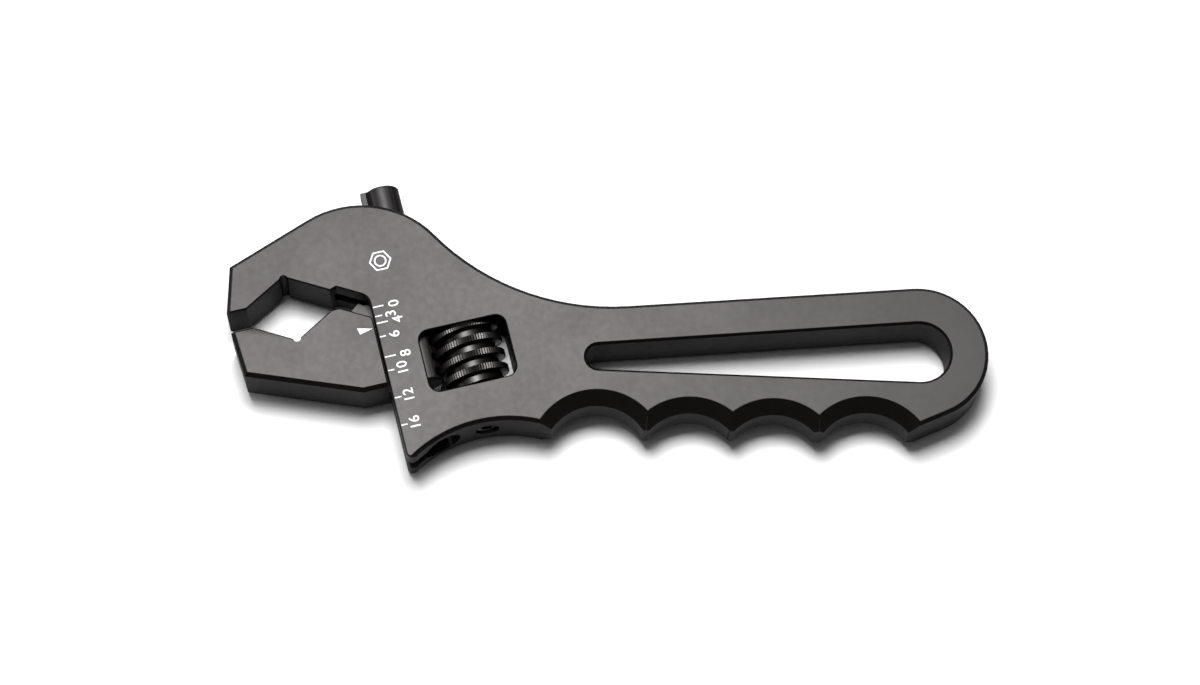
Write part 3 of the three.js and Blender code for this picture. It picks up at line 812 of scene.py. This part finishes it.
# %% Bars on the marks
BAR_INPUTS = {
    "Width": ("NodeSocketFloat", 0.34),
    "Thickness": ("NodeSocketFloat", 2 * HALF_PRINT),
    "Material": ("NodeSocketMaterial", None),
}


def bar_tree():
    tree, given = new_group("bars_on_points", BAR_INPUTS)
    length = add_node(
        tree, "GeometryNodeInputNamedAttribute", {"Name": "mark_length"}, data_type="FLOAT"
    )
    size = add_node(
        tree, "ShaderNodeCombineXYZ", {"X": length.outputs[0], "Y": given["Width"], "Z": given["Thickness"]}
    )
    block = add_node(tree, "GeometryNodeMeshCube", {"Size": (1, 1, 1)})
    bars = add_node(
        tree,
        "GeometryNodeInstanceOnPoints",
        {"Points": given["Geometry"], "Instance": block.outputs[0], "Scale": size.outputs[0]},
    )
    close_group(tree, bars.outputs[0], given)
    return tree


def mark_points():
    mesh = bpy.data.meshes.new("mark_points")
    middle_z = HALF_PLATE + INK - HALF_PRINT
    middles = [(LINE_START_U + (length - LINE_START_U) / 2, v, middle_z) for v, length in marks.values()]
    mesh.from_pydata(middles, [], [])
    lengths = mesh.attributes.new("mark_length", "FLOAT", "POINT")
    lengths.data.foreach_set("value", [length - LINE_START_U for _, length in marks.values()])
    return mesh


scale_piece = run_tree("scale_marks", bar_tree(), {"Material": white_marking}, mark_points())
scale_piece.data.transform(HEAD)
finish_piece(scale_piece, white_marking, "handle", "white_marking")

# %% [markdown]
# ## The numbers
# The numbers are plain lettering, and they read from the grip side, so they are turned a quarter.
# Their strokes could be modelled as bars, but Blender's own typeface is close. Each number is a
# text object that is made a mesh first, and only then put in its place.

# %% Numbers of the scale
DIGIT_SIZE = 3.7
DIGIT_U = {"0": 5.8, "3": 4.5, "4": 5.9, "6": 4.2, "8": 5.8, "10": 4.2, "12": 4.1, "16": 4.0}


def number_mesh(text):
    font = bpy.data.curves.new("number", "FONT")
    font.body = text
    font.size = DIGIT_SIZE
    font.align_x = "CENTER"
    font.align_y = "CENTER"
    font.offset = 0.035
    font.extrude = HALF_PRINT
    font.resolution_u = 6
    carrier = bpy.data.objects.new("number", font)
    bpy.context.scene.collection.objects.link(carrier)
    bpy.context.view_layer.update()
    evaluated = carrier.evaluated_get(bpy.context.evaluated_depsgraph_get())
    mesh = bpy.data.meshes.new_from_object(evaluated)
    bpy.data.objects.remove(carrier)
    return mesh


def join_meshes(name, meshes):
    whole = bmesh.new()
    for mesh in meshes:
        whole.from_mesh(mesh)
    bmesh.ops.remove_doubles(whole, verts=whole.verts, dist=1e-5)
    joined = bpy.data.meshes.new(name)
    whole.to_mesh(joined)
    whole.free()
    return link_object(name, joined)


def placed_numbers():
    quarter = Matrix.Rotation(math.pi / 2, 4, "Z")
    meshes = []
    for label, (v, _) in marks.items():
        mesh = number_mesh(label)
        place = Matrix.Translation((DIGIT_U[label], v, HALF_PLATE + INK - HALF_PRINT))
        mesh.transform(place @ quarter)
        meshes.append(mesh)
    return meshes


numbers_piece = join_meshes("scale_numbers", placed_numbers())
numbers_piece.data.transform(HEAD)
finish_piece(numbers_piece, white_marking, "handle", "white_marking")

# %% [markdown]
# ## The nut sign
# A small drawing of a nut stands above the scale to say what it measures: a six-sided ring round a
# circle. Filled curves could draw it, but four loops of corners make a ring that is closed by
# itself, and a closed solid exports well.

# %% Nut sign
def ring(corners, outer, inner, centre, low, high):
    """A flat ring with that many corners, as a closed solid."""
    skin = bmesh.new()
    loops = []
    turns = [2 * math.pi * i / corners for i in range(corners)]
    for radius, z in ((outer, low), (outer, high), (inner, high), (inner, low)):
        spots = [(centre[0] + radius * math.cos(t), centre[1] + radius * math.sin(t), z) for t in turns]
        loops.append([skin.verts.new(spot) for spot in spots])
    for k in range(4):
        near, far = loops[k], loops[(k + 1) % 4]
        for i in range(corners):
            j = (i + 1) % corners
            skin.faces.new((near[i], near[j], far[j], far[i]))
    bmesh.ops.recalc_face_normals(skin, faces=skin.faces)
    mesh = bpy.data.meshes.new("ring")
    skin.to_mesh(mesh)
    skin.free()
    return mesh


PRINT_LOW = HALF_PLATE + INK - 2 * HALF_PRINT
PRINT_HIGH = HALF_PLATE + INK
NUT_SIGN = (4.95, 33.0)

sign_piece = join_meshes("nut_sign", [
    ring(6, 2.9, 2.45, NUT_SIGN, PRINT_LOW, PRINT_HIGH),
    ring(36, 1.6, 1.2, NUT_SIGN, PRINT_LOW, PRINT_HIGH),
])
sign_piece.data.transform(HEAD)
finish_piece(sign_piece, white_marking, "handle", "white_marking")

# %% [markdown]
# ## The jaw's pointer
# A small white triangle on the jaw picks the size. It could be part of the scale's mesh, but it has
# to ride on the jaw's own body, so that it slides along the scale when the jaw moves. One face,
# raised a little, is all it needs.

# %% Jaw pointer
POINTER_CORNERS = [(-0.92, 15.78), (-4.7, 16.75), (-4.3, 14.93)]


def flat_plate(name, corners, low, high):
    skin = bmesh.new()
    base = skin.faces.new([skin.verts.new((u, v, low)) for u, v in corners])
    grown = bmesh.ops.extrude_face_region(skin, geom=[base])
    top = [item for item in grown["geom"] if isinstance(item, bmesh.types.BMVert)]
    bmesh.ops.translate(skin, verts=top, vec=(0, 0, high - low))
    bmesh.ops.recalc_face_normals(skin, faces=skin.faces)
    mesh = bpy.data.meshes.new(name)
    skin.to_mesh(mesh)
    skin.free()
    return link_object(name, mesh)


pointer_piece = flat_plate("jaw_pointer", POINTER_CORNERS, PRINT_LOW, PRINT_HIGH)
pointer_piece.data.transform(HEAD)
finish_piece(pointer_piece, white_marking, "jaw", "white_marking")

# %% [markdown]
# ## The floor
# The wrench lies on a pale floor, which also lights its walls from below. A curved backdrop could
# hide the far edge, but a large flat square is plainer and does as well from above. Slow noise in
# its colour keeps it from being quite even.

# %% Floor
FLOOR_HALF = 2.0
FLOOR_DARK = (0.84, 0.84, 0.84, 1)
FLOOR_LIGHT = (0.87, 0.87, 0.87, 1)
FLOOR_CORNERS = ((-1, -1), (1, -1), (1, 1), (-1, 1))


def floor_finish():
    material, tree, surface, place = shader_tree("pale_floor")
    haze = noise(tree, place, 90)
    tree.links.new(mix_colours(tree, haze, FLOOR_DARK, FLOOR_LIGHT), surface.inputs["Base Color"])
    surface.inputs["Roughness"].default_value = 0.7
    surface.inputs["Specular IOR Level"].default_value = 0.1
    return material


floor_mesh = bpy.data.meshes.new("studio_floor")
floor_places = [(x * FLOOR_HALF, y * FLOOR_HALF, cad_box[0].z) for x, y in FLOOR_CORNERS]
floor_mesh.from_pydata(floor_places, [], [(0, 1, 2, 3)])
floor = link_object("studio_floor", floor_mesh)
floor_mesh.materials.append(floor_finish())
floor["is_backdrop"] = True
print(f"floor at z = {cad_box[0].z / MM:.2f} mm")

# %% [markdown]
# ## The lights
# Black satin shows what it mirrors, not its colour. The top face is grey because a compact soft box
# hangs almost overhead, and the walls are dark because nothing bright stands beside them. One
# large panel would also light the top, but its shadows would be wide and grey. So the box is
# compact, a wide panel adds a little, and a low one at the left lights the jaws' tips.

# %% Lights
ROOM_GREY = (0.07, 0.07, 0.07, 1)


def soft_panel(name, place, target, width, height, power):
    lamp = bpy.data.lights.new(name, "AREA")
    lamp.shape = "RECTANGLE"
    lamp.size = width
    lamp.size_y = height
    lamp.energy = power
    made = bpy.data.objects.new(name, lamp)
    way = (Vector(target) - Vector(place)).normalized()
    made.matrix_world = Matrix.Translation(place) @ way.to_track_quat("-Z", "Y").to_matrix().to_4x4()
    bpy.context.scene.collection.objects.link(made)


soft_panel("key_box", (-0.075, 0.21, 0.97), (-0.02, 0, 0), width=0.38, height=0.34, power=14.0)
soft_panel("wide_fill", (-0.15, 0.3, 1.1), (0, 0, 0), width=1.4, height=1.2, power=2.6)
soft_panel("left_panel", (-1.1, 0.35, 0.22), (0, 0, 0.01), width=0.8, height=0.5, power=3.6)

world = bpy.data.worlds.new("dim_room")
world.use_nodes = True
world.node_tree.nodes["Background"].inputs["Color"].default_value = ROOM_GREY
bpy.context.scene.world = world
bpy.context.scene.view_settings.view_transform = "Standard"

# %% [markdown]
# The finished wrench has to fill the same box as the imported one. Its sizes could be read off in
# the window, but written down side by side the two boxes show at once that a piece grew or slipped.

# %% Write the sizes and finish
seen_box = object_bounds()
cad_size = cad_box[1] - cad_box[0]
seen_size = seen_box[1] - seen_box[0]
print("grown by", [round(side / MM, 3) for side in seen_size - cad_size], "mm")
